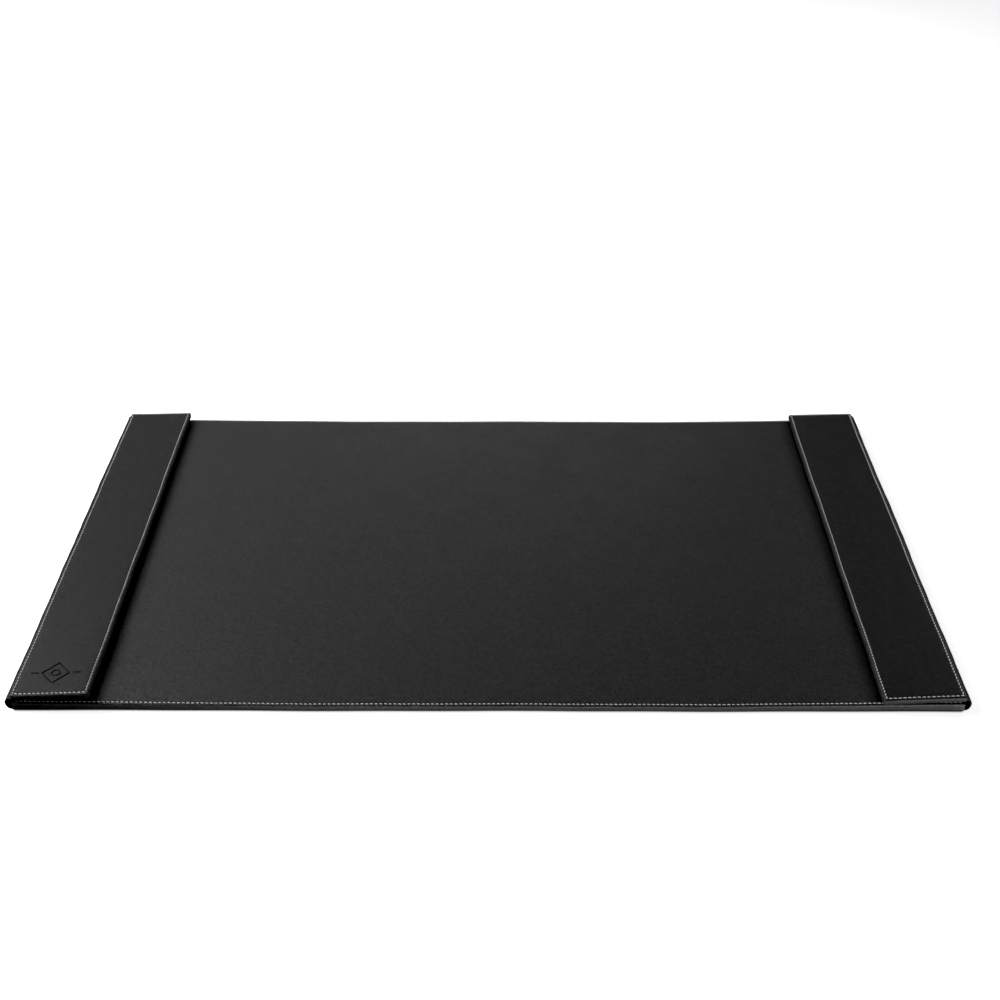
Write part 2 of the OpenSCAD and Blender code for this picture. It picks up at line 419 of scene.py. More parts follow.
TOP_INSETS = (BAND, 9.5, 7.6, 6.2, 5.2, 4.5, 3.95, 3.5, 3.15, 2.8, 2.45, 2.1)
ROLL_DEGREES = (0, 20, 40, 60, 75)   # rows over the rolled upper edge
SEAT_DEGREES = (45, 90)   # rows round the small radius at the foot of the side
CREASE_DROP = 0.32   # how far down the side its crease is, as a share
# Rows of the side: share of the way from the crease to its top, or to its foot if negative,
# and share of the pinch.
CREASE_ROWS = ((0.9, 0.06), (0.5, 0.4), (0.15, 0.92), (-0.1, 1.0), (-0.4, 0.5), (-1.0, 0.0))
MARGIN_WEAR = 0.3   # edge marks where the roll begins, on it and down the side
ROLL_WEAR = 0.35
ROLL_EXTRA_WEAR = 0.65   # what the roll's middle has on top
SIDE_WEAR = 0.2
LAP_STEP = 0.24   # thickness of the lap at the ends of a cover's front and rear
LAP_TOP_REACH = 2.6   # width of the lap at the top of the side
LAP_WIDENING = 2.2   # how much wider it is at the foot
LAP_SOFTNESS = 0.5
LAP_SIDE_DEPTH = 1.2   # how near the front or rear face lapped points are


def cover_profile(bottom, top, pinch):
    """Rows of (inset, height, share of relief, edge mark) from the margin on top, over the
    rolled edge, down the side, under the board and back inside the skin."""
    rows = [(inset, top, 1.0, 0.0) for inset in TOP_INSETS]
    for degrees in ROLL_DEGREES:
        a = math.radians(degrees)
        wear = ROLL_WEAR + ROLL_EXTRA_WEAR * math.sin(2 * a) if degrees else MARGIN_WEAR
        rows.append((EDGE_R * (1 - math.sin(a)), top - EDGE_R * (1 - math.cos(a)),
                     math.cos(a), wear))
    # The side is creased where the lip is pinched against the board below it.
    wall_top, wall_low = top - EDGE_R, bottom + SEAM_R
    crease = wall_top - CREASE_DROP * (wall_top - wall_low)
    for share, depth in CREASE_ROWS:
        span = wall_top - crease if share > 0 else crease - wall_low
        rows.append((depth * pinch, crease + share * span, 0.0, SIDE_WEAR))
    for degrees in SEAT_DEGREES:
        a = math.radians(degrees)
        rows.append((SEAM_R * (1 - math.cos(a)), wall_low - SEAM_R * math.sin(a), 0.0, 0.0))
    rows.append((TURN_IN, bottom, 0.0, 0.0))
    rows.append((TURN_IN, bottom + SKIN, 0.0, 0.0))
    rows.append((SKIN, bottom + SKIN, 0.0, 0.0))
    rows.append((SKIN, top - EDGE_R, 0.0, 0.0))
    rows.append((EDGE_R, top - SKIN, 0.0, 0.0))
    return rows


def corner_fold(outline, points, z, wall_top, wall_low):
    """Outward step of the leatherette lapped over itself at the ends of the front and rear."""
    height = np.clip((wall_top - z) / (wall_top - wall_low), 0, 1)
    reach = LAP_TOP_REACH + LAP_WIDENING * height
    from_end = np.minimum(points[:, 0] - outline.low[0], outline.high[0] - points[:, 0])
    from_face = np.minimum(points[:, 1] - outline.low[1], outline.high[1] - points[:, 1])
    step = LAP_STEP * smooth((reach - from_end) / LAP_SOFTNESS + 0.5)
    return np.where(from_face < LAP_SIDE_DEPTH, step, 0) * smooth(height * 4)


def wrapped_cover(outline, bottom, top, relief, fill_step, pinch, fine=None):
    """The closed shell of one leatherette cover."""
    rings = []
    for inset, z, share, mark in cover_profile(bottom, top, pinch):
        points, outward = outline.ring(inset)
        heights = np.full(len(points), z)
        if share:
            heights = heights + share * relief(points[:, 0], points[:, 1])
        elif z < top - EDGE_R and inset < SKIN * 0.9:
            lap = corner_fold(outline, points, z, top - EDGE_R, bottom)
            points = points + lap[:, None] * outward
        rings.append((points, heights, mark))
    shape = Shape()
    first, last = shape.wrap(rings)
    shape.cap(first, outline, BAND, fill_step, lambda x, y: top + relief(x, y), fine)
    shape.cap(last, outline, EDGE_R, 4 * fill_step, level(top - SKIN))
    return shape


def ornament_distance(x, y):
    """Distance from the middle of the ornament's pressed lines. The origin is its centre."""
    length = math.hypot(ORNAMENT_HALF_W, ORNAMENT_HALF_H)
    from_side = (np.abs(x) * ORNAMENT_HALF_H + np.abs(y) * ORNAMENT_HALF_W
                 - ORNAMENT_HALF_W * ORNAMENT_HALF_H) / length
    lozenge = np.abs(from_side + ORNAMENT_LINE / 2)
    ring = np.abs(np.hypot(x, y) - ORNAMENT_RING_R + ORNAMENT_LINE / 2)
    start, end = ORNAMENT_BAR
    bar = np.hypot(np.maximum(np.maximum(start - np.abs(x), np.abs(x) - end), 0), y)
    return np.minimum(np.minimum(lozenge, ring), bar)


def ornament_press(x, y):
    """1 in the pressed lines and 0 outside them."""
    half_w = ORNAMENT_LINE / 2 + ORNAMENT_SOFTNESS / 2
    return smooth((half_w - ornament_distance(x, y)) / ORNAMENT_SOFTNESS)


def ornament_relief(x, y):
    """The pressed lines, with soft shoulders."""
    shoulder = np.exp(-((ornament_distance(x, y) / SHOULDER_REACH) ** 2))
    return -ORNAMENT_DEPTH * ornament_press(x, y) - SHOULDER_DEPTH * shoulder


def slow_swell(x, y, height):
    """Slight unevenness of the padding under a cover."""
    return height * (wave(x, 17, 0.7) * wave(y, 23, 1.9) + wave(x, 41, -y / 37, 0.6))


# ---- Materials ----

PAINTED_SHADE_POWER = 3.0   # how fast the painted shade deepens near something higher
EDGE_SHINE = 0.25   # more shine on worn edges
PRESSED_DULLNESS = 0.7   # share of the shine that is lost in pressed lines
SLOT_COLOURS = {entry["slot"]: entry["base_color"] for entry in frame["record"]["materials"]}
THREAD_SHADE_REACH = 6.0   # how near to thread a rail has to be for painted shade on it, in millimetres


class Look:
    """One material's node tree, with short ways to add nodes to it."""

    def __init__(self, slot):
        self.base = SLOT_COLOURS.get(slot)
        self.material = bpy.data.materials.new(f"{slot}_look")
        self.material.use_nodes = True
        self.tree = self.material.node_tree
        self.shader = self.tree.nodes["Principled BSDF"]
        self.place = self.add("TexCoord").outputs["Object"]

    def add(self, kind, inputs=None, **settings):
        """Adds a node. kind is its type, less the ShaderNode that all of them begin with."""
        made = self.tree.nodes.new(f"ShaderNode{kind}")
        for key, value in settings.items():
            setattr(made, key, value)
        for key, value in (inputs or {}).items():
            self.set(made.inputs[key], value)
        return made

    def set(self, socket, value):
        if isinstance(value, bpy.types.NodeSocket):
            self.tree.links.new(value, socket)
        else:
            socket.default_value = value

    def noise(self, size_mm, detail=2.0, roughness=0.5, stretch=None):
        """Noise whose features are about size_mm across."""
        place = self.place
        if stretch:
            place = self.add("Mapping", {"Vector": place, "Scale": stretch}).outputs[0]
        return self.add("TexNoise", {
            "Vector": place, "Scale": 1 / (size_mm * MM), "Detail": detail, "Roughness": roughness,
        }).outputs["Fac"]

    def cells(self, size_mm, place, feature="F1"):
        """Rounded cells about size_mm across."""
        return self.add("TexVoronoi", {
            "Vector": place, "Scale": 1 / (size_mm * MM), "Randomness": 1.0,
        }, feature=feature).outputs["Distance"]

    def ramp(self, value, low, high, out_low=0.0, out_high=1.0):
        """Maps low..high of a value to out_low..out_high, held at both ends."""
        return self.add("MapRange", {
            "Value": value, "From Min": low, "From Max": high,
            "To Min": out_low, "To Max": out_high,
        }, interpolation_type="SMOOTHSTEP").outputs["Result"]

    def maths(self, operation, a, b=0.0, c=0.0):
        made = self.tree.nodes.new("ShaderNodeMath")
        made.operation = operation
        for socket, value in zip(made.inputs, (a, b, c)):
            self.set(socket, value)
        return made.outputs[0]

    def mix(self, share, first, second):
        """Mixes two colours. A number stands for that many times the slot's own colour."""
        made = self.tree.nodes.new("ShaderNodeMix")
        made.data_type = "RGBA"
        for key, value in (("Factor_Float", share), ("A_Color", first), ("B_Color", second)):
            if key != "Factor_Float" and isinstance(value, float):
                value = tuple(c * value for c in self.base[:3]) + (1.0,)
            socket = next(s for s in made.inputs if s.identifier == key)
            self.set(socket, value)
        return next(s for s in made.outputs if s.identifier == "Result_Color")

    def open_air(self, reach, power=1.0):
        """1 where nothing stands within reach, in metres, and less beside something."""
        found = self.add("AmbientOcclusion", {"Distance": reach}).outputs["AO"]
        return found if power == 1.0 else self.maths("POWER", found, power)

    def bump(self, height, distance_mm, strength=1.0, under=None):
        inputs = {"Height": height, "Distance": distance_mm * MM, "Strength": strength}
        if under is not None:
            inputs["Normal"] = under
        return self.add("Bump", inputs).outputs["Normal"]

    def attribute(self, name):
        return self.add("Attribute", attribute_name=name).outputs["Fac"]

    def principled(self, **inputs):
        for key, value in inputs.items():
            self.set(self.shader.inputs[key.replace("_", " ")], value)
        return self.material


def leatherette(slot, pebble, grain_depth, rough, gloss, painted_shade_reach=0.0):
    """Coated black leatherette: pebbles parted by fine creases, over slow mottling. Lengths
    are in millimetres. Where it faces up within a given reach of something higher, its colour
    and its shine are darkened as painted shade."""
    look = Look(slot)
    wander = look.add("TexNoise", {
        "Vector": look.place, "Scale": 1 / (2.5 * pebble * MM), "Detail": 1.0,
    }).outputs["Color"]
    warped = look.add("VectorMath", {
        0: wander, 1: (0.9 * pebble * MM,) * 3, 2: look.place,
    }, operation="MULTIPLY_ADD").outputs[0]
    crease = look.ramp(look.cells(pebble, warped, "DISTANCE_TO_EDGE"), 0.0, 0.22)
    dome = look.cells(pebble, warped)
    fine = look.noise(pebble * 0.22)
    mottle = look.noise(46, 3.0, 0.55)
    patch = look.noise(3.6, 3.0, 0.6)
    edge = look.attribute("edge")
    pressed = look.attribute("pressed")
    height = look.maths("MULTIPLY_ADD", dome, -0.45, crease)
    height = look.maths("MULTIPLY_ADD", fine, 0.35, height)
    shade = look.mix(crease, 0.35, 0.65)
    shade = look.mix(look.ramp(patch, 0.3, 0.7, 0.0, 0.5), shade, 0.95)
    shade = look.mix(look.ramp(mottle, 0.3, 0.7, 0.0, 0.3), shade, 0.9)
    shade = look.mix(look.maths("MULTIPLY", edge, look.ramp(patch, 0.35, 0.7, 0.1, 0.5)),
                     shade, 1.8)
    shade = look.mix(look.maths("MULTIPLY", pressed, 0.8), shade, 0.2)
    roughness = look.ramp(mottle, 0.25, 0.75, rough - 0.04, rough + 0.04)
    roughness = look.maths("MULTIPLY_ADD", patch, 0.08, roughness)
    roughness = look.maths("MULTIPLY_ADD", crease, -0.07, roughness)
    roughness = look.maths("MULTIPLY_ADD", edge, -0.06, roughness)
    specular = look.maths("MULTIPLY_ADD", look.maths("MULTIPLY", pressed, gloss),
                          -PRESSED_DULLNESS, gloss)
    specular = look.maths("MULTIPLY_ADD", edge, EDGE_SHINE, specular)
    specular = look.maths("MULTIPLY", specular, look.ramp(patch, 0.3, 0.7, 0.84, 1.16))
    # Painted shade: beside something higher, the colour and the shine of upward faces are darkened
    # by ambient occlusion.
    if painted_shade_reach:
        open_air = look.open_air(painted_shade_reach * MM, PAINTED_SHADE_POWER)
        normal = look.add("NewGeometry").outputs["Normal"]
        facing_up = look.add("SeparateXYZ", {"Vector": normal}).outputs["Z"]
        painted_shade = look.maths("SUBTRACT", 1.0, open_air)
        painted_shade = look.maths("MULTIPLY", painted_shade, look.ramp(facing_up, 0.5, 0.9))
        open_air = look.maths("SUBTRACT", 1.0, painted_shade)
        specular = look.maths("MULTIPLY", specular, open_air)
        shade = look.mix(open_air, 0.1, shade)
    return look.principled(
        Base_Color=shade, Roughness=roughness, Specular_IOR_Level=specular,
        Normal=look.bump(height, grain_depth, 0.9, look.bump(patch, 0.14, 0.9)),
    )


def thread_look(slot, dive_shade):
    """Twisted polyester thread, with painted shade where it goes into the leatherette and under a
    rail.
    """
    look = Look(slot)
    strands = look.noise(0.09, 2.0, 0.6)
    tone = look.noise(5)
    deep = look.attribute("edge")
    shade = look.mix(look.ramp(tone, 0.3, 0.7), 1.15, 1.4)
    shade = look.mix(look.maths("MULTIPLY", look.ramp(strands, 0.3, 0.6, 1.0, 0.0), 0.35),
                     shade, 0.6)
    # Painted shade where the stitch dives into the leatherette.
    shade = look.mix(look.maths("MULTIPLY", deep, dive_shade), shade, 0.12)
    # Painted shade under a rail, from ambient occlusion.
    open_air = look.open_air(THREAD_SHADE_REACH * MM)
    shade = look.mix(look.ramp(open_air, 0.15, 0.5), 0.05, shade)
    return look.principled(
        Base_Color=shade, Roughness=look.ramp(strands, 0.2, 0.8, 0.5, 0.7),
        Sheen_Weight=0.25, Sheen_Roughness=0.4, Normal=look.bump(strands, 0.03, 0.7),
    )


def felt_look(slot):
    """Needled felt: matted fibres running every way."""
    look = Look(slot)
    fibre = look.noise(0.25, 4.0, 0.7, stretch=(1.0, 0.25, 1.0))
    cross = look.noise(0.25, 4.0, 0.7, stretch=(0.25, 1.0, 1.0))
    clumps = look.noise(2.2, 3.0, 0.6)
    mat = look.maths("MAXIMUM", fibre, cross)
    shade = look.mix(look.ramp(mat, 0.45, 0.75), 0.7, 2.2)
    shade = look.mix(look.ramp(clumps, 0.4, 0.7, 0.0, 0.5), shade, 1.4)
    height = look.maths("MULTIPLY_ADD", clumps, 0.8, mat)
    return look.principled(
        Base_Color=shade, Roughness=look.ramp(mat, 0.3, 0.8, 0.85, 1.0),
        Sheen_Weight=0.4, Sheen_Roughness=0.6, Normal=look.bump(height, 0.2, 0.8),
    )


def cloth_look(slot, yarn):
    """Plain woven cloth, each yarn passing over and under. yarn is its spacing in millimetres."""
    look = Look(slot)
    turns = math.tau / (yarn * MM)
    scaled_place = look.add("VectorMath", {
        0: look.place, 1: (turns / 2,) * 3,
    }, operation="MULTIPLY").outputs[0]
    parts = look.add("SeparateXYZ", {"Vector": scaled_place}).outputs
    warp, weft = (look.maths("SINE", parts[k]) for k in ("X", "Y"))
    over = look.maths("MULTIPLY", warp, weft)
    ridges = look.maths("MULTIPLY_ADD", over, 0.5, 0.5)
    fuzz = look.noise(0.12, 3.0, 0.6)
    slub = look.noise(6, stretch=(0.15, 1.0, 1.0))
    height = look.maths("MULTIPLY_ADD", fuzz, 0.4, ridges)
    shade = look.mix(ridges, 0.5, 1.4)
    shade = look.mix(look.ramp(slub, 0.45, 0.7, 0.0, 0.5), shade, 1.8)
    return look.principled(
        Base_Color=shade, Roughness=look.ramp(fuzz, 0.2, 0.8, 0.8, 0.95),
        Sheen_Weight=0.3, Sheen_Roughness=0.5, Normal=look.bump(height, 0.12, 0.9),
    )


def board_look(slot):
    """Pressed fibre board."""
    look = Look(slot)
    chips = look.noise(1.6, 4.0, 0.7, stretch=(1.0, 0.4, 3.0))
    tone = look.noise(30)
    shade = look.mix(look.ramp(chips, 0.35, 0.65), 0.6, 1.3)
    shade = look.mix(look.ramp(tone, 0.3, 0.7, 0.0, 0.3), shade, 0.8)
    return look.principled(
        Base_Color=shade, Roughness=look.ramp(chips, 0.3, 0.7, 0.7, 0.9),
        Normal=look.bump(chips, 0.1, 0.6),
    )


def foam_look(slot):
    """Closed-cell foam sheet with its skin cut through."""
    look = Look(slot)
    cells = look.cells(0.5, look.place)
    tone = look.noise(4)
    shade = look.mix(look.ramp(cells, 0.1, 0.6), 1.2, 0.6)
    shade = look.mix(look.ramp(tone, 0.3, 0.7, 0.0, 0.3), shade, 1.4)
    return look.principled(
        Base_Color=shade, Roughness=look.ramp(cells, 0.1, 0.6, 0.75, 0.95),
        Normal=look.bump(cells, 0.15, 0.7),
    )


def card_look(slot):
    """Dyed card with short pressed fibres."""
    look = Look(slot)
    fibre = look.noise(0.4, 4.0, 0.65, stretch=(1.0, 0.2, 1.0))
    tone = look.noise(12)
    shade = look.mix(look.ramp(fibre, 0.35, 0.7), 0.8, 1.6)
    shade = look.mix(look.ramp(tone, 0.3, 0.7, 0.0, 0.3), shade, 1.3)
    return look.principled(
        Base_Color=shade, Roughness=look.ramp(fibre, 0.3, 0.7, 0.6, 0.8),
        Normal=look.bump(fibre, 0.06, 0.6),
    )


LOOKS = {
    "pad_leatherette": leatherette(
        "pad_leatherette", pebble=0.95, grain_depth=0.09, rough=0.40, gloss=0.30, painted_shade_reach=14.0),
    "rail_leatherette": leatherette(
        "rail_leatherette", pebble=0.7, grain_depth=0.06, rough=0.38, gloss=0.17),
    "spine_leatherette": leatherette(
        "spine_leatherette", pebble=0.8, grain_depth=0.04, rough=0.50, gloss=0.12),
    "thread": thread_look("thread", dive_shade=0.75),
    "bobbin_thread": thread_look("bobbin_thread", dive_shade=0.6),
    "felt": felt_look("felt"),
    "lining": cloth_look("lining", yarn=0.55),
    "board": board_look("board"),
    "foam": foam_look("foam"),
    "spacer_card": card_look("spacer_card"),
}

# ---- Stitches ----

PLIES = 2
PLY_SIDES = 6
STITCH_STEPS = 10
PLY_R = 0.6 * THREAD_R
PLY_OFFSET = THREAD_R - PLY_R
TWIST = math.tau / 2.9   # turn of the plies for each millimetre
SLANT = 0.5   # how far a stitch drifts across its seam
STITCH_REACH = 0.375   # half a stitch's visible length, as a share of the pitch
STITCH_FULLNESS = 0.42   # lower dives more sharply at a stitch's ends
THREAD_STANDS = 0.8   # height of the thread's middle in its groove, in thread radii
PLY_ENDS = 0.55   # thickness of a ply at a stitch's ends, and what its middle adds
PLY_MIDDLE = 0.45
STITCH_DIP = 0.45   # how deep a stitch's ends dive
BOBBIN_DIP = 0.3
PAD_BOBBIN_INSET = 0.42   # from the felt's lower face up to the bobbin rows
RAIL_BOBBIN_INSET = 0.12
# Unevenness of a stitch's half length, slant, sideways place and height.
STITCH_WOBBLE = (0.03, 0.05, 0.04, 0.03)


def stitch_run(seam, surface_z, up, dip):
    """Every stitch of a seam as its own short length of two-ply thread. up is 1 on an upper
    face and -1 on a lower one."""
    shape = Shape()
    share = np.linspace(0, 1, STITCH_STEPS + 1)
    rise = np.clip(np.sin(math.pi * share), 0, 1) ** STITCH_FULLNESS
    reach = STITCH_REACH * seam.pitch
    for k in range(seam.count):
        longer, steeper, aside, higher = RNG.normal(0, 1, 4) * STITCH_WOBBLE
        s = (k + 0.5) * seam.pitch + (2 * share - 1) * (reach + longer)
        spots, along = seam.place(s)
        across = np.column_stack([-along[:, 1], along[:, 0]])
        sideways = (SLANT + steeper) * (0.5 - share) + aside
        spots = spots + sideways[:, None] * across
        height = -dip * (1 - rise) + higher * rise - SEAM_DEPTH + THREAD_STANDS * THREAD_R
        for ply in range(PLIES):
            turn = TWIST * s + ply * math.pi
            taper = PLY_ENDS + PLY_MIDDLE * np.clip(rise * 1.6, 0, 1)
            side = PLY_OFFSET * np.cos(turn)
            lift = height + PLY_OFFSET * np.sin(turn)
            rings = []
            for i in range(STITCH_STEPS + 1):
                angle = np.arange(PLY_SIDES) * math.tau / PLY_SIDES
                out = PLY_R * taper[i] * np.cos(angle) + side[i]
                xy = spots[i] + out[:, None] * across[i]
                z = surface_z + up * (lift[i] + PLY_R * taper[i] * np.sin(angle))
                rings.append(shape.add(np.column_stack([xy, z]), 1 - rise[i]))
                if i:
                    shape.join(rings[-2], rings[-1], PLY_SIDES)
            shape.faces.append(tuple(rings[0] + j for j in range(PLY_SIDES)))
            shape.faces.append(tuple(rings[-1] + j for j in range(PLY_SIDES)))
    return shape


def sew(piece, node, body, seam, upper_z, lower_z, pose=None):
    """A seam's stitches on both of its faces."""
    shape = stitch_run(seam, upper_z, 1, STITCH_DIP)
    finish_mesh(f"{piece}_stitches", shape, "thread", f"{node}_stitching", body, pose)
    shape = stitch_run(seam, lower_z, -1, BOBBIN_DIP)
    finish_mesh(
        f"{piece}_bobbin_stitches", shape, "bobbin_thread", f"{node}_bobbin_thread", body, pose)


# ---- Slabs: felt and lining ----

SLAB_DEGREES = (0, 45, 90)   # rows round a soft sheet's edges


def soft_slab(outline, bottom, top, radius, relief, fill_step):
    """A closed sheet of felt or cloth with soft edges and a worked lower face."""
    rows = [(inset, bottom, 1.0) for inset in TOP_INSETS[::2] if inset > radius]
    for degrees in SLAB_DEGREES:
        a = math.radians(degrees)
        rows.append((radius * (1 - math.sin(a)), bottom + radius * (1 - math.cos(a)),
                     1 - degrees / 90))
    for degrees in SLAB_DEGREES:
        a = math.radians(degrees)
        rows.append((radius * (1 - math.cos(a)), top - radius * (1 - math.sin(a)), 0.0))
    rows.append((BAND, top, 0.0))
    rings = []
    for inset, z, share in rows:
        points, _ = outline.ring(inset)
        rings.append((points, z - share * relief(points[:, 0], points[:, 1]), 0.0))
    shape = Shape()
    first, last = shape.wrap(rings)
    shape.cap(first, outline, BAND, fill_step, lambda x, y: bottom - relief(x, y))
    shape.cap(last, outline, BAND, 4 * fill_step, level(top))
    return shape


# ---- Spine ----

SPINE_ROWS = 340   # rows of points along a spine
SPINE_BEND_STEPS = 25   # points round its half circle
SPINE_INSET = 0.2   # how far inside the CAD's bend it lies
SPINE_WEAR = 0.15


def spine_strip(side, low, high):
    """A strip bent into a half round between a flange under the pad's board and one under
    the rail's. It gathers a little along its length, as soft leatherette does."""
    shape = Shape()
    radius = (high[2] - low[2]) / 2
    middle_z = (high[2] + low[2]) / 2
    edge = max(abs(low[0]), abs(high[0])) - radius
    path = [(-SPINE_FLANGE * k / 4, -radius, 0.0, -1.0) for k in (4, 3, 2, 1)]
    for degrees in np.linspace(-90, 90, SPINE_BEND_STEPS):
        a = math.radians(degrees)
        path.append((radius * math.cos(a), radius * math.sin(a), math.cos(a), math.sin(a)))
    path += [(-SPINE_FLANGE * k / 4, radius, 0.0, 1.0) for k in (1, 2, 3, 4)]
    path = np.array(path)
    ys = np.linspace(low[1], high[1], SPINE_ROWS)
    bulge = np.clip(path[:, 0] / radius, 0, 1)
    for layer in (0, SKIN):
        for y in ys:
            gather = wave(y, 5.2, 1.3 * np.sin(y / 31), 0.10) + wave(y, 43, 0.5, 0.16)
            crush = 0.22 * np.exp(-((path[:, 1] / radius - 0.1) / 0.5) ** 2) * wave(y, 67, 1)
            out = bulge * (gather - SPINE_INSET + crush)
            x = edge + path[:, 0] + (out - layer) * path[:, 2]
            z = middle_z + path[:, 1] + (out - layer) * path[:, 3]
            shape.add(np.column_stack([side * x, np.full(len(x), y), z]), 0.0)
    across, rows = len(path), len(ys)
    for layer in (0, 1):
        base = layer * across * rows
        for j in range(rows - 1):
            shape.join(base + j * across, base + (j + 1) * across, across, closed=False)
    inner = across * rows
    for j in (0, rows - 1):
        shape.join(j * across, inner + j * across, across, closed=False)
    for i in (0, across - 1):
        for j in range(rows - 1):
            a, b = j * across + i, (j + 1) * across + i
            shape.faces.append((a, b, inner + b, inner + a))
    edge_mark = np.tile(SPINE_WEAR * bulge, rows)
    shape.edge = [np.concatenate([edge_mark, np.zeros(inner)])]
    return shape


# ---- Hidden layers: boards, foam sheets and spacers ----

CUT_R = 0.25   # how much a cut sheet's edges are broken
CUT_MARGIN = 2.5   # width of the strip inside its edge
CUT_FILL_STEP = 12.0


def cut_slab(node, play):
    """A board, foam sheet or strip of card as it's cut: flat faces, edges just broken."""
    low, high = box_mm(node)
    low[:2] += play
    high[:2] -= play
    outline = Outline(low, high, step_x=7.0, step_y=7.0, corner_steps=4)
    cut_r = min(CUT_R, (high[2] - low[2]) / 3)
    rows = [(CUT_MARGIN, low[2]), (cut_r, low[2]), (0.0, low[2] + cut_r),
            (0.0, high[2] - cut_r), (cut_r, high[2]), (CUT_MARGIN, high[2])]
    shape = Shape()
    ends = shape.wrap(
        [(outline.ring(inset)[0], np.full(outline.count, z), 0.0) for inset, z in rows])
    step = min(CUT_FILL_STEP, np.min(high[:2] - low[:2] - 2 * CUT_MARGIN) / 3)
    for ring, z in zip(ends, (low[2], high[2])):
        shape.cap(ring, outline, CUT_MARGIN, step, level(z))
    return shape


# ---- The pad ----

SEAM_FAR = 14.0   # this far inside the margin, a seam adds only the padding's rise
FELT_PULL = 0.4   # how far the bobbin rows pull the felt up
FELT_PULL_REACH = 0.9
LAYER_GAP = 0.02   # between a cover and the felt or lining under it

pad_low, pad_high = box_mm("base_cover")
seam_rows = []
for name, inward in (("front", 1), ("rear", -1)):
    low, high = box_mm(f"{name}_stitching")
    seam_rows.append((name, Row(low[0], high[0], (low[1] + high[1]) / 2, inward)))


def pad_relief(x, y):
    """Both seams and the padding between them. Each seam adds the padding's rise, so one
    rise is taken off."""
    total = slow_swell(x, y, UNEVENNESS)
    for _, seam in seam_rows:
        inwards, _ = seam.find(x, y)
        near = inwards < BAND + SEAM_FAR
        total = total + np.where(near, seam_relief(seam, x, y, SWELL["pad"]), SWELL["pad"])
    return total - SWELL["pad"]


pad_outline = Outline(pad_low, pad_high, step_x=0.62, step_y=6.0)
pad_shape = wrapped_cover(
    pad_outline, pad_low[2], pad_high[2], pad_relief, fill_step=7.0, pinch=PINCH["pad"])
finish_mesh("pad_cover", pad_shape, "pad_leatherette", "base_cover", "base")
for layer in ("board", "foam"):
    shape = cut_slab(f"base_{layer}", BOARD_PLAY)
    finish_mesh(f"pad_{layer}", shape, layer, f"base_{layer}", "base")

felt_low, felt_high = box_mm("base_backing")
felt_outline = Outline(felt_low, felt_high, step_x=1.6, step_y=6.0)


def felt_relief(x, y):
    """The bobbin rows pull the felt up, clear of the desk, so the relief is never downward."""
    total = np.zeros(len(x))
    for _, seam in seam_rows:
        inwards, _ = seam.find(x, y)
        total = total - FELT_PULL * np.exp(-((inwards / FELT_PULL_REACH) ** 2))
    return total


felt_shape = soft_slab(felt_outline, felt_low[2], pad_low[2] - LAYER_GAP, radius=0.3,
                       relief=felt_relief, fill_step=9.0)
finish_mesh("pad_felt", felt_shape, "felt", "base_backing", "base")

for name, seam in seam_rows:
    sew(f"pad_{name}", name, "base", seam, pad_high[2], felt_low[2] + PAD_BOBBIN_INSET)

# ---- The rails ----

RING_CORNER_R = 1.2   # radius at which a rail's stitching turns its corners
LINING_TRIM = 0.15   # how far inside its CAD shape the lining's edge lies
TOP_DEPTH = 1.5   # points this near a rail's top can be in a pressed line


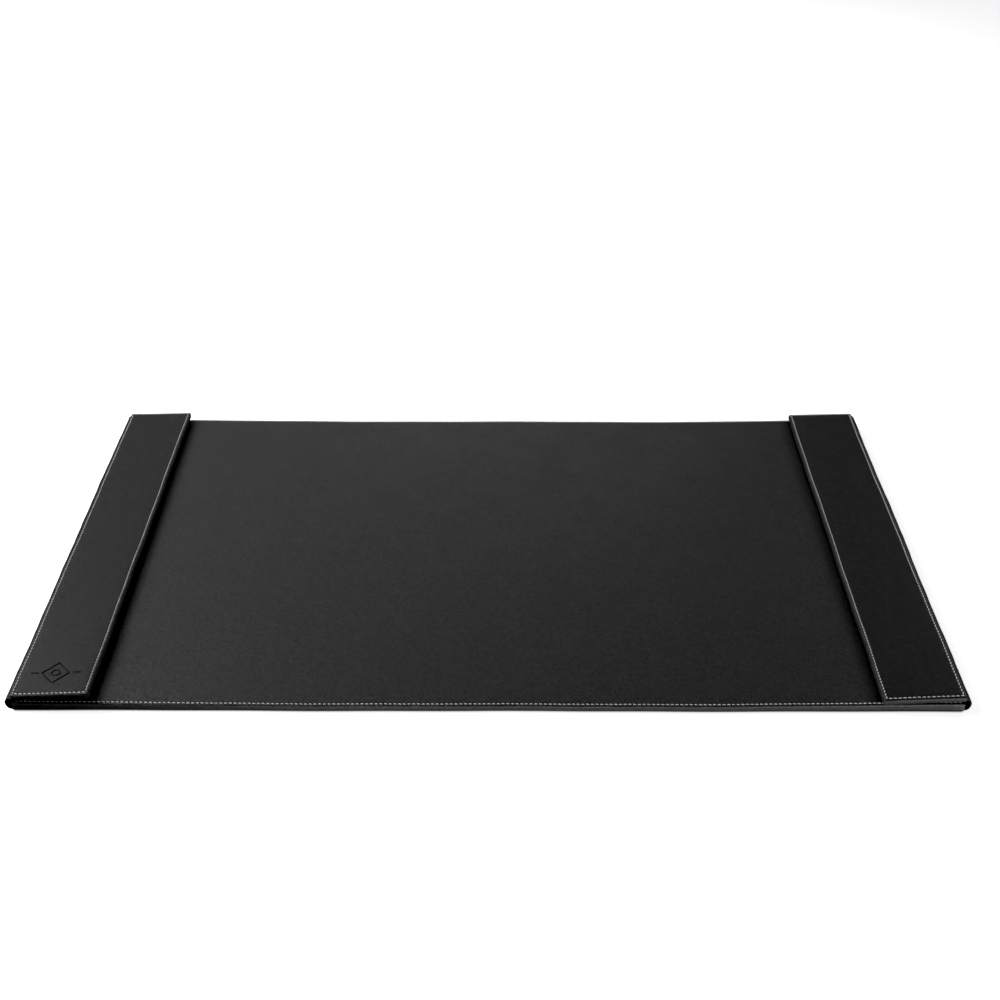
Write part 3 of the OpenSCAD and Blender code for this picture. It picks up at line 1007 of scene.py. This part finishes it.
def rail(side_name, side):
    """One rail, with the spine that joins it to the pad and the spacer under it."""
    body = f"{side_name}_rail"
    low, high = box_mm(f"{body}_cover")
    ring_low, ring_high = box_mm(f"{body}_stitching")
    trim = (ring_high[2] - ring_low[2]) / 2
    seam = Ring(ring_low[:2] + trim, ring_high[:2] - trim, RING_CORNER_R)
    centre = np.array([(low[0] + high[0]) / 2, ring_low[1] + trim + ORNAMENT_SETBACK])
    has_ornament = side_name == "left"
    hinge_x = side * max(abs(low[0]), abs(high[0]))

    def ajar(points):
        """Turns the rail's points about its hinge by the small slope it rests at."""
        points = points.copy()
        slope = front_to_back(RAIL_AJAR[side_name], points[:, 1])
        points[:, 2] += slope * side * (hinge_x - points[:, 0])
        return points

    def relief(x, y):
        total = seam_relief(seam, x, y, SWELL["rail"]) + slow_swell(x, y, UNEVENNESS)
        if has_ornament:
            total = total + ornament_relief(x - centre[0], y - centre[1])
        return total

    def lining_relief(x, y):
        return np.minimum(seam_relief(seam, x, y, 0.0), 0.0)

    def pressed(points):
        mark = ornament_press(points[:, 0] - centre[0], points[:, 1] - centre[1])
        return np.where(points[:, 2] > high[2] - TOP_DEPTH, mark, 0)

    def finish(part, shape, slot, node, mark=None):
        finish_mesh(f"{body}_{part}", shape, slot, f"{body}_{node}", body, ajar, mark)

    fine = None
    if has_ornament:
        half_w, half_h = ORNAMENT_MESH_HALF
        grid = np.arange(-half_w, half_w, ORNAMENT_MESH_STEP)
        gx, gy = np.meshgrid(grid, grid[np.abs(grid) < half_h])
        keep = ornament_distance(gx, gy) < ORNAMENT_MESH_REACH
        fine = np.column_stack([gx[keep], gy[keep]]) + centre
    outline = Outline(low, high, step_x=0.52, step_y=0.52)
    shape = wrapped_cover(outline, low[2], high[2], relief, fill_step=5.0,
                          pinch=PINCH[side_name], fine=fine)
    finish("leather", shape, "rail_leatherette", "cover", pressed if has_ornament else None)
    for layer in ("board", "foam"):
        finish(f"{layer}_sheet", cut_slab(f"{body}_{layer}", BOARD_PLAY), layer, layer)

    lining_low, lining_high = box_mm(f"{body}_lining")
    outline = Outline(lining_low + LINING_TRIM, lining_high - LINING_TRIM, step_x=1.2, step_y=1.2)
    shape = soft_slab(outline, lining_low[2], low[2] - LAYER_GAP, radius=0.35,
                      relief=lining_relief, fill_step=8.0)
    finish("cloth", shape, "lining", "lining")
    sew(body, body, body, seam, high[2], lining_low[2] + RAIL_BOBBIN_INSET, ajar)

    spine_low, spine_high = box_mm(f"{side_name}_spine")
    middle_z = (spine_low[2] + spine_high[2]) / 2

    def upper_ajar(points):
        """The same for the spine, in full at its upper flange and not at all below its middle."""
        share = smooth((points[:, 2] - middle_z) / (spine_high[2] - middle_z))
        return points + share[:, None] * (ajar(points) - points)

    strip = finish_mesh(f"{side_name}_spine_strip", spine_strip(side, spine_low, spine_high),
                        "spine_leatherette", f"{side_name}_spine", pose=upper_ajar)
    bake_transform(strip)
    finish_mesh(f"{side_name}_spacer_card", cut_slab(f"{side_name}_spacer", 0.0), "spacer_card",
                f"{side_name}_spacer", "base")


rail("left", -1)
rail("right", 1)

# ---- Studio: lengths in metres from here on ----

FLOOR_GLOW = 0.75   # glow of the floor, for the camera only
FLOOR_SHADES = ((0.90, 0.90, 0.90, 1.0), (0.93, 0.93, 0.93, 1.0))
FLOOR_HALF_W = 30.0
FLOOR_DROP = 0.0002   # the floor's depth below the felt
CONTACT_REACH = 0.0013   # how far the painted contact shadow spreads where the mat touches
CONTACT_POWER = 1.5
FLOOR_SHINE = (0.4, 4.0)   # painted reflection: glow seen only in the mat's front edge, at its left and right
SHINE_SPAN = (-0.42, -0.1)   # places along X between which that glow changes
SHINE_REACH = 0.15   # how near the floor has to be to show in the edge
MIRROR_REACH = 0.014   # how far the painted shadow spreads in that glow
MIRROR_POWER = 4.0
BACKDROP_GLOW = 0.75   # beyond the floor, seen by the camera only
ROOM_LIGHT = 0.03   # faint light from all round
BLACK_LEVEL = 0.006   # shadows darker than this print as black
CAMERA_PLACE = (0.0085, -1.2196, 0.8575)
CAMERA_ANGLES = (33.179, -0.156, 0.220)   # degrees: down from level, turned to the left, rolled
LENS_MM = 51.43
SENSOR_WIDTH_MM = 36.0


def floor():
    """A pale light table. It glows a little, so the mat's shadow on it stays faint, and the
    glow is darkened by a painted contact shadow where the mat touches. Only the camera sees
    it, apart from the strip before the mat, whose glow is a painted reflection in the mat's
    front edge, brighter towards the right."""
    look = Look("floor")
    cloud = look.noise(900)
    shade = look.mix(cloud, *FLOOR_SHADES)
    ray = look.add("LightPath").outputs
    close_by = look.maths("LESS_THAN", ray["Ray Length"], SHINE_REACH)
    # Painted contact shadow: the floor's glow is darkened where the mat stands close.
    open_air = look.open_air(CONTACT_REACH, CONTACT_POWER)
    # Painted reflection: glossy rays from close by see the strip before the mat glow, brighter
    # towards the right and darkened right beside the mat.
    beside = look.open_air(MIRROR_REACH, MIRROR_POWER)
    spot = look.add("SeparateXYZ", {"Vector": look.place}).outputs
    shine = look.ramp(spot["X"], *SHINE_SPAN, *FLOOR_SHINE)
    in_front = look.maths("LESS_THAN", spot["Y"], -MAT_HALF_D * MM)
    shine = look.maths("MULTIPLY", shine, in_front)
    painted_reflection = look.maths("MULTIPLY", look.maths("MULTIPLY", close_by, ray["Is Glossy Ray"]), shine)
    painted_reflection = look.maths("MULTIPLY", painted_reflection, beside)
    glow = look.maths("MULTIPLY", open_air, FLOOR_GLOW)
    seen = look.maths("MULTIPLY_ADD", ray["Is Camera Ray"], glow, painted_reflection)
    look.principled(
        Base_Color=look.mix(ray["Is Camera Ray"], (0.0, 0.0, 0.0, 1.0), shade), Roughness=0.9,
        Specular_IOR_Level=0.0, Emission_Color=(1.0, 1.0, 1.0, 1.0), Emission_Strength=seen,
    )
    half = FLOOR_HALF_W
    corners = ((-half, -half), (half, -half), (half, half), (-half, half))
    mesh = bpy.data.meshes.new("floor")
    mesh.from_pydata([(x, y, -FLOOR_DROP) for x, y in corners], [], [(0, 1, 2, 3)])
    mesh.materials.append(look.material)
    piece = bpy.data.objects.new("floor", mesh)
    show(piece)


def softbox(name, place, target, size, brightness):
    """A rectangular soft light at a place, turned to a target. size is its width and height,
    and brightness its radiance."""
    data = bpy.data.lights.new(name, "AREA")
    data.shape = "RECTANGLE"
    data.size, data.size_y = size
    data.energy = brightness * math.pi * size[0] * size[1]
    lamp = bpy.data.objects.new(name, data)
    lamp.visible_camera = False
    lamp.location = place
    lamp.rotation_euler = (Vector(target) - Vector(place)).to_track_quat("-Z", "Y").to_euler()
    show(lamp)


def camera():
    """The photograph's view: standing in front, looking down at about a third of a right
    angle through a normal lens."""
    data = bpy.data.cameras.new("camera")
    data.lens = LENS_MM
    data.sensor_width = SENSOR_WIDTH_MM
    pitch, turn, roll = (math.radians(a) for a in CAMERA_ANGLES)
    made = bpy.data.objects.new("camera", data)
    made.matrix_world = (
        Matrix.Translation(CAMERA_PLACE)
        @ Matrix.Rotation(turn, 4, "Z")
        @ Matrix.Rotation(math.pi / 2 - pitch, 4, "X")
        @ Matrix.Rotation(roll, 4, "Z")
    )
    show(made)
    bpy.context.scene.camera = made


def studio():
    """Softboxes behind and at the left of the mat, brightest at the left, so its face shines
    there and grades off to the right, with one at the right and one in front for the sides."""
    scene = bpy.context.scene
    scene.view_settings.view_transform = "Standard"
    scene.view_settings.use_curve_mapping = True
    scene.view_settings.curve_mapping.black_level = (BLACK_LEVEL,) * 3
    scene.view_settings.curve_mapping.update()
    world = bpy.data.worlds.new("studio")
    world.use_nodes = True
    background = world.node_tree.nodes["Background"]
    background.inputs["Color"].default_value = (1.0, 1.0, 1.0, 1.0)
    ray = world.node_tree.nodes.new("ShaderNodeLightPath")
    strength = world.node_tree.nodes.new("ShaderNodeMath")
    strength.operation = "MULTIPLY_ADD"
    strength.inputs[1].default_value = BACKDROP_GLOW
    strength.inputs[2].default_value = ROOM_LIGHT
    world.node_tree.links.new(ray.outputs["Is Camera Ray"], strength.inputs[0])
    world.node_tree.links.new(strength.outputs[0], background.inputs["Strength"])
    scene.world = world
    softbox("left_front", (-1.5, 0.1, 0.8), (-0.2, 0, 0), (1.0, 0.6), 11.0)
    softbox("left", (-1.5, 1.0, 1.1), (-0.2, 0, 0), (1.0, 0.6), 4.5)
    softbox("left_high", (-1.5, 1.0, 1.9), (-0.2, 0, 0), (1.2, 0.8), 4.6)
    softbox("back_left", (-0.9, 2.0, 0.8), (-0.1, 0, 0), (1.2, 0.6), 1.0)
    softbox("back", (0.1, 2.2, 0.8), (0, 0, 0), (1.0, 0.6), 2.0)
    softbox("back_high", (0.0, 2.0, 1.5), (0, 0, 0), (1.6, 0.7), 0.6)
    softbox("right", (1.5, 1.0, 0.55), (0.2, 0, 0), (1.0, 0.5), 3.0)
    softbox("front_right", (1.1, -1.3, 0.5), (0.25, -0.25, 0), (0.8, 0.5), 4.5)


floor()
studio()
camera()
